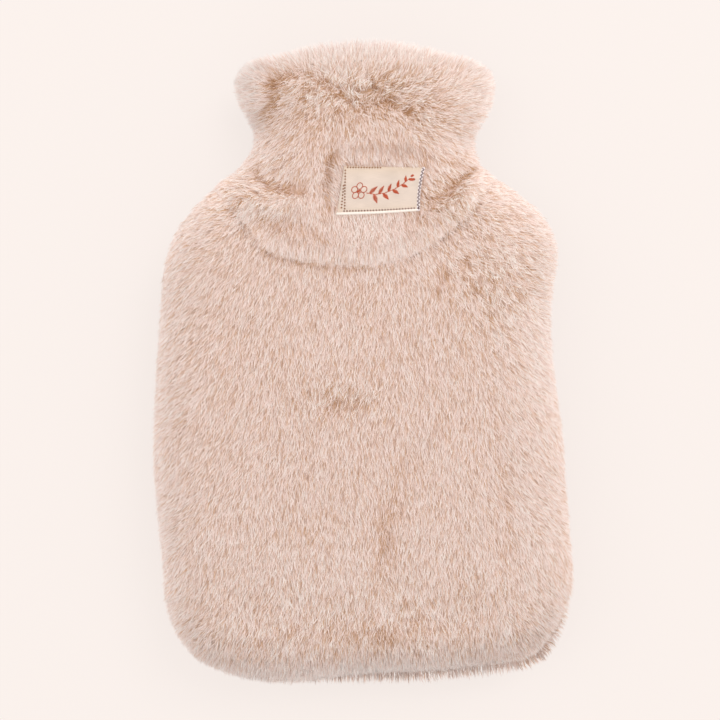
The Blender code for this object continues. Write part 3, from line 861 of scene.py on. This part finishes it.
label = {
    "columns": 56,
    "rows": 30,
    "thick": 0.7,
    "turnUp": 0.055,  # share of its height that is turned under at the bottom edge
    "turnHigh": 0.55,
    "sag": 0.4,
    "skew": (-2.3, 0.9),  # how far the left and the right end of its bottom edge are moved up
    "hollow": 0.9,  # how far its right edge is drawn in
    "pucker": (0.12, 40.0, 0.08),  # along the foot's seam: height, how often, spread
    "sunk": 0.1,
    "inset": (0.02, 0.03),  # its height is taken this far inside its edges
    "castFrom": 100.0,
    "threads": (110, 60),
    "weave": 0.3,  # how much its threads change its shade
    # slubs, and broad lighter and darker blotches: how often along and up it, scale, detail, how much they change its
    # shade
    "marks": ((4.0, 40.0, 3.0, 3.0, 0.35), (1.0, 1.0, 4.0, 1.0, 0.35)),
    "cream": (0.60, 0.50, 0.43),
    "shades": ((0.25, 0.78), (0.75, 1.2)),  # of the cream
    "pale": (0.82, 0.75, 0.68),  # painted highlight on the turned-up foot
    "straw": (0.64, 0.50, 0.37),  # along its top and bottom
    "strawShare": (4.0, 0.7),  # how close to them, and how much
    "lilac": (0.77, 0.70, 0.70),  # its right edge
    "selvedge": 0.962,
    "roughness": 0.75,
    "bump": (0.25, 0.2),  # strength, depth
    "sheen": 0.1,
}
labelTree = treeOf("label")


def labelPlace(across, up):
    # a place on the label's upper side, from millimetres along and up it
    u, v = across / labelSize[0], up / labelSize[1]
    bottomLeft, bottomRight, topRight, topLeft = [Vector(corner) for corner in corners]
    low, high = bottomLeft.lerp(bottomRight, u), topLeft.lerp(topRight, u)
    spot = low.lerp(high, v)
    edge, inward = label["inset"]
    inside = low.lerp(high, min(max(v, edge), 1 - edge)).lerp(bottomLeft.lerp(topRight, 0.5), inward)
    hit = labelTree.ray_cast(Vector((inside.x, inside.y, label["castFrom"])) * mm, Vector((0, 0, -1)))
    left, right = label["skew"]
    spot.y += (left + (right - left) * u) * (1 - v)
    spot.y -= label["sag"] * math.sin(math.pi * min(max(u, 0), 1)) * (1 - v) ** 2
    spot.x -= label["hollow"] * math.sin(math.pi * min(max(v, 0), 1)) * max(u, 0) ** 3
    tall, often, spread = label["pucker"]
    pucker = tall * math.sin(u * often) * math.exp(-(((v - label["turnUp"]) / spread) ** 2))
    roll = label["turnHigh"] * math.sin(math.pi * min(v / label["turnUp"], 1)) if v < label["turnUp"] else 0.0
    return Vector((spot.x, spot.y, hit[0].z / mm - label["sunk"] + pucker + roll)) * mm


def labelFinish():
    made, tree, shader = newFinish("woven label", label["roughness"])
    u, v = apart(tree, put(tree, "ShaderNodeUVMap", uv_map=paintMap).outputs[0])[:2]
    warp = maths(tree, "SINE", maths(tree, "MULTIPLY", u, label["threads"][0] * math.pi))
    weft = maths(tree, "SINE", maths(tree, "MULTIPLY", v, label["threads"][1] * math.pi))
    weave = maths(tree, "MULTIPLY_ADD", maths(tree, "MULTIPLY", warp, weft), 0.5, 0.5)
    thread = maths(tree, "MULTIPLY", weave, label["weave"])
    for along, up, scale, detail, share in label["marks"]:
        spot = joined(tree, maths(tree, "MULTIPLY", u, along), maths(tree, "MULTIPLY", v, up), 0.0)
        mark = noise(tree, spot, scale, detail)[0]
        thread = maths(tree, "ADD", thread, maths(tree, "MULTIPLY", mark, share))
    cloth = ramp(tree, thread, [(at, times(label["cream"], factor)) for at, factor in label["shades"]])
    close, share = label["strawShare"]
    edgeward = maths(tree, "POWER", maths(tree, "ABSOLUTE", maths(tree, "MULTIPLY_ADD", v, 2.0, -1.0)), close)
    cloth = mixed(tree, maths(tree, "MULTIPLY", edgeward, share), cloth, label["straw"])
    # the turned-up foot takes its painted highlight, the right edge its lilac selvedge
    turned = maths(tree, "LESS_THAN", v, label["turnUp"])
    edge = maths(tree, "GREATER_THAN", u, label["selvedge"])
    cloth = mixed(tree, edge, mixed(tree, turned, cloth, label["pale"]), label["lilac"])
    tree.links.new(cloth, shader.inputs["Base Color"])
    strength, depth = label["bump"]
    bump = put(tree, "ShaderNodeBump", {"Height": weave, "Strength": strength, "Distance": depth * mm}).outputs[0]
    tree.links.new(bump, shader.inputs["Normal"])
    shader.inputs["Sheen Weight"].default_value = label["sheen"]
    return made


def labelMesh():
    columns, rows = label["columns"], label["rows"]
    width, height = labelSize
    points, shares, faces = [], [], []
    for row in range(rows + 1):
        for column in range(columns + 1):
            points.append(labelPlace(width * column / columns, height * row / rows))
            shares.append((column / columns, row / rows))
            if row and column:
                last = len(points) - 1
                faces.append((last - columns - 2, last - columns - 1, last, last - 1))
    mesh = bpy.data.meshes.new("woven_label")
    mesh.from_pydata(points, [], faces)
    layer = mesh.uv_layers.new(name=paintMap)
    for loop in mesh.loops:
        layer.data[loop.index].uv = shares[loop.vertex_index]
    mesh.shade_smooth()
    return mesh


labelPiece = newObject("woven_label", labelMesh())
labelPiece.visible_shadow = False
labelPiece.data.materials.append(labelFinish())
wall = labelPiece.modifiers.new("wall", "SOLIDIFY")
wall.thickness = label["thick"] * mm
wall.offset = -1.0


# threads: sewing along the label's edges, and the sprig worked on it

stitches = {
    "brown": (0.17, 0.08, 0.07),
    "tan": (0.24, 0.10, 0.04),
    "plum": (0.11, 0.06, 0.055),
    "rust": (0.42, 0.075, 0.03),
    "roughness": 0.6,
    "gloss": 0.3,
    "ply": (2500.0, 1.0),  # scale, detail
    "shades": ((0.3, 0.7), (0.7, 1.35)),
    "sides": 5,
    "bends": 4,
    "ends": 0.55,  # a stitch's thickness at its ends, as a share of its middle's
    "sunk": 0.12,
}


def threadTree():
    tree, given, done = newTree("threads along edges", (("Sides", "Int"), ("Finish", "Material")))
    line = put(tree, "GeometryNodeMeshToCurve", {0: given["Geometry"]}).outputs[0]
    section = put(tree, "GeometryNodeCurvePrimitiveCircle", {"Resolution": given["Sides"], "Radius": 1.0}).outputs[0]
    tube = put(tree, "GeometryNodeCurveToMesh", {
        "Curve": line, "Profile Curve": section, "Scale": kept(tree, "wide"), "Fill Caps": True,
    })
    real = put(tree, "GeometryNodeRealizeInstances", {"Geometry": tube.outputs[0]})
    finished = put(tree, "GeometryNodeSetMaterial", {"Geometry": real.outputs[0], "Material": given["Finish"]})
    tree.links.new(finished.outputs[0], done.inputs[0])
    return tree


def threadFinish(name, colour):
    made, tree, shader = newFinish(name, stitches["roughness"], stitches["gloss"])
    place = put(tree, "ShaderNodeTexCoord").outputs["Object"]
    ply = noise(tree, place, *stitches["ply"])[0]
    shade = ramp(tree, ply, [(at, times(colour, factor)) for at, factor in stitches["shades"]])
    tree.links.new(shade, shader.inputs["Base Color"])
    return made


def threads(name, runs, radius, high, finish):
    # each run is one stitch, from one place on the label to another
    points, edges, wide = [], [], []
    bends, ends = stitches["bends"], stitches["ends"]
    for start, end in runs:
        start, end = Vector(start), Vector(end)
        for step in range(bends + 1):
            spot = labelPlace(*start.lerp(end, step / bends))
            arch = math.sin(math.pi * step / bends)
            spot.z += (arch * high - stitches["sunk"]) * mm
            points.append(spot)
            wide.append(radius * mm * (ends + (1 - ends) * arch))
            if step:
                edges.append((len(points) - 2, len(points) - 1))
    mesh = bpy.data.meshes.new(name)
    mesh.from_pydata(points, edges, [])
    pointValues(mesh, "wide", wide)
    made = grown(name, mesh, threadNodes, {"Sides": stitches["sides"], "Finish": finish})
    made.data.shade_smooth()
    return made


def dashes(start, end, length, gap):
    start, end = Vector(start), Vector(end)
    way = (end - start).normalized()
    count = int((end - start).length / (length + gap))
    feet = [start.lerp(end, number / count) for number in range(count)]
    return [(foot, foot + way * length) for foot in feet]


def zigzag(start, end, swing, count):
    start, end = Vector(start), Vector(end)
    side = Vector((end.y - start.y, start.x - end.x)).normalized() * swing / 2
    places = [start.lerp(end, number / count) + side * (1 if number % 2 else -1) for number in range(count + 1)]
    return list(zip(places[:-1], places[1:]))


sprig = {
    "stem": ((13.6, 10.5), (18.4, 9.6), (23.2, 10.2), (28.0, 12.0), (32.3, 14.6), (35.6, 17.6)),
    "stemStitches": (3, 1.1),  # in each stretch, and how long, in shares of a third
    "leaf": (5.0, 1.25, 10),  # length, half width, stitches
    "leafBy": 0.8,  # puts a leaf's widest place nearer its foot
    "overlap": 0.25,
    "leafFeet": ((1, 0.35), (-1, 0.85)),  # its side, and where on each stretch it grows
    "smaller": 0.09,  # each pair of leaves than the last
    "spread": 52.0,
    "blossom": ((9.8, 11.4), 4.1, 1.5, 5),  # middle, petal length, petal half width, petals
    "blossomEye": 0.9,
    "blossomTurn": 18.0,
    "petalSteps": 14,
    "berries": ((36.6, 18.9), (37.6, 16.9)),
    "berry": (1.6, 0.85, 4),  # length, half width, stitches
    "thread": (0.24, 0.2),  # radius, and how high a stitch stands
}


def headings(turn):
    way = Vector((math.cos(turn), math.sin(turn)))
    return way, Vector((-way.y, way.x))


def leaf(foot, turn, length, half, count):
    # satin stitches across a leaf that points away from its foot
    way, side = headings(turn)
    runs = []
    for number in range(count):
        share = (number + 0.5) / count
        across = side * half * math.sin(math.pi * share ** sprig["leafBy"])
        middle = Vector(foot) + way * length * share
        slant = way * sprig["overlap"]
        runs.append((middle - across - slant, middle + across + slant))
    return runs


def petal(foot, turn, length, half):
    # the outline of a petal as short stitches
    way, side = headings(turn)
    rim = []
    for step in range(sprig["petalSteps"] + 1):
        angle = math.tau * step / sprig["petalSteps"]
        rim.append(Vector(foot) + way * length * (1 - math.cos(angle)) / 2 + side * half * math.sin(angle))
    return list(zip(rim[:-1], rim[1:]))


def sprigRuns():
    stem = [Vector(place) for place in sprig["stem"]]
    parts, run = sprig["stemStitches"]
    length, half, count = sprig["leaf"]
    runs = []
    for number, (start, end) in enumerate(zip(stem[:-1], stem[1:])):
        runs += [(start.lerp(end, part / parts), start.lerp(end, (part + run) / parts)) for part in range(parts)]
        along = math.atan2(end.y - start.y, end.x - start.x)
        size = 1.0 - sprig["smaller"] * number
        for side, share in sprig["leafFeet"]:
            foot = start.lerp(end, share)
            runs += leaf(foot, along + side * math.radians(sprig["spread"]), length * size, half * size, count)
    middle, length, half, count = sprig["blossom"]
    for number in range(count):
        turn = math.radians(sprig["blossomTurn"] + 360 * number / count)
        foot = Vector(middle) + headings(turn)[0] * sprig["blossomEye"]
        runs += petal(foot, turn, length - sprig["blossomEye"], half)
    length, half, count = sprig["berry"]
    for berry in (middle, *sprig["berries"]):
        runs += leaf(Vector(berry) - Vector((length / 2, 0.0)), 0.0, length, half, count)
    return runs


threadNodes = threadTree()
wide, high = labelSize
# each row of stitches: the thread, its radius, how high a stitch stands, then from where to where
# it runs, with a stitch's length and the gap after it, or a zigzag's swing and count
sewn = {
    "label_bottom_stitches": ("brown", 0.46, 0.3, ((dashes, (3.6, 1.9), (wide - 1.6, 1.7), 0.3, 1.15),)),
    "label_side_stitches": ("tan", 0.46, 0.3, (
        (dashes, (3.9, 2.9), (0.8, high - 0.7), 0.3, 1.1),
        (dashes, (1.9, high - 0.5), (wide - 22.0, high - 0.5), 0.3, 1.1),
        (dashes, (2.2, 3.4), (1.3, high - 8.0), 0.3, 1.1),
    )),
    "label_edge_stitches": ("plum", 0.26, 0.3, (
        (zigzag, (wide - 0.9, 1.4), (wide - 0.8, high - 0.4), 1.5, 22),
        (zigzag, (wide - 1.2, 1.8), (wide - 0.4, 1.1), 0.9, 5),
    )),
}
labelThreads = []
for name, (colour, radius, rise, rows) in sewn.items():
    runs = [run for make, *row in rows for run in make(*row)]
    finish = threadFinish(colour + " sewing thread", stitches[colour])
    labelThreads.append(threads(name, runs, radius, rise, finish))
finish = threadFinish("rust embroidery thread", stitches["rust"])
labelThreads.append(threads("label_sprig", sprigRuns(), *sprig["thread"], finish))
print("label threads", sum(len(piece.data.polygons) for piece in labelThreads), "faces")


# what rides, and what stands for which solid

piles["flap"] += piles.pop("fringe")
for name, made in backings.items():
    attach(made, "root")
    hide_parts(nodes[name])
    for one in piles[name]:
        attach(one, "root")
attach(labelPiece, "root")
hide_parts("label")
for one in labelThreads:
    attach(one, "root")


# floor, light and camera

studio = {
    "floor": (0.13, 0.12, 0.115),
    "floorHalf": 6.0,  # in metres, as are the places of lights and camera
    "floorDrop": 0.0005,
    "glow": ((0.965, 0.888, 0.847), 0.82),
    "sky": ((1.0, 0.975, 0.96), 0.98),
    "key": ((0.9, 0.9, 1.5), 0.9, 15.0, (1.0, 0.975, 0.955)),
    "fill": ((-1.1, 0.2, 1.4), 1.2, 6.0, (1.0, 1.0, 1.0)),
    "camera": (-0.0013, 0.0034, 1.526),
    "lens": 142.9,
    "clip": (0.01, 50.0),
}
floorMesh = bpy.data.meshes.new("floor")
half, drop = studio["floorHalf"], studio["floorDrop"]
floorPoints = [(x * half, y * half, -drop) for x, y in ((-1, -1), (1, -1), (1, 1), (-1, 1))]
floorMesh.from_pydata(floorPoints, [], [(0, 1, 2, 3)])
floor = newObject("floor", floorMesh)
pale, tree, shader = newFinish("pale floor", 1.0, 0.0)
glow, strength = studio["glow"]
shader.inputs["Base Color"].default_value = (*studio["floor"], 1)
shader.inputs["Emission Color"].default_value = (*glow, 1)
shader.inputs["Emission Strength"].default_value = strength
floorMesh.materials.append(pale)

world = bpy.data.worlds.new("studio")
bpy.context.scene.world = world
world.use_nodes = True
colour, strength = studio["sky"]
sky = world.node_tree.nodes["Background"].inputs
sky[0].default_value = (*colour, 1)
sky[1].default_value = strength


def softLight(name, place, size, power, colour):
    lamp = bpy.data.lights.new(name, "AREA")
    lamp.size = size
    lamp.energy = power
    lamp.color = colour
    made = newObject(name, lamp)
    made.location = place
    made.rotation_euler = (-Vector(place)).to_track_quat("-Z", "Y").to_euler()


softLight("key", *studio["key"])
softLight("fill", *studio["fill"])
lens = bpy.data.cameras.new("overhead")
lens.lens = studio["lens"]
lens.clip_start, lens.clip_end = studio["clip"]
camera = newObject("overhead", lens)
camera.location = studio["camera"]
bpy.context.scene.camera = camera
bpy.context.scene.view_settings.view_transform = "Standard"
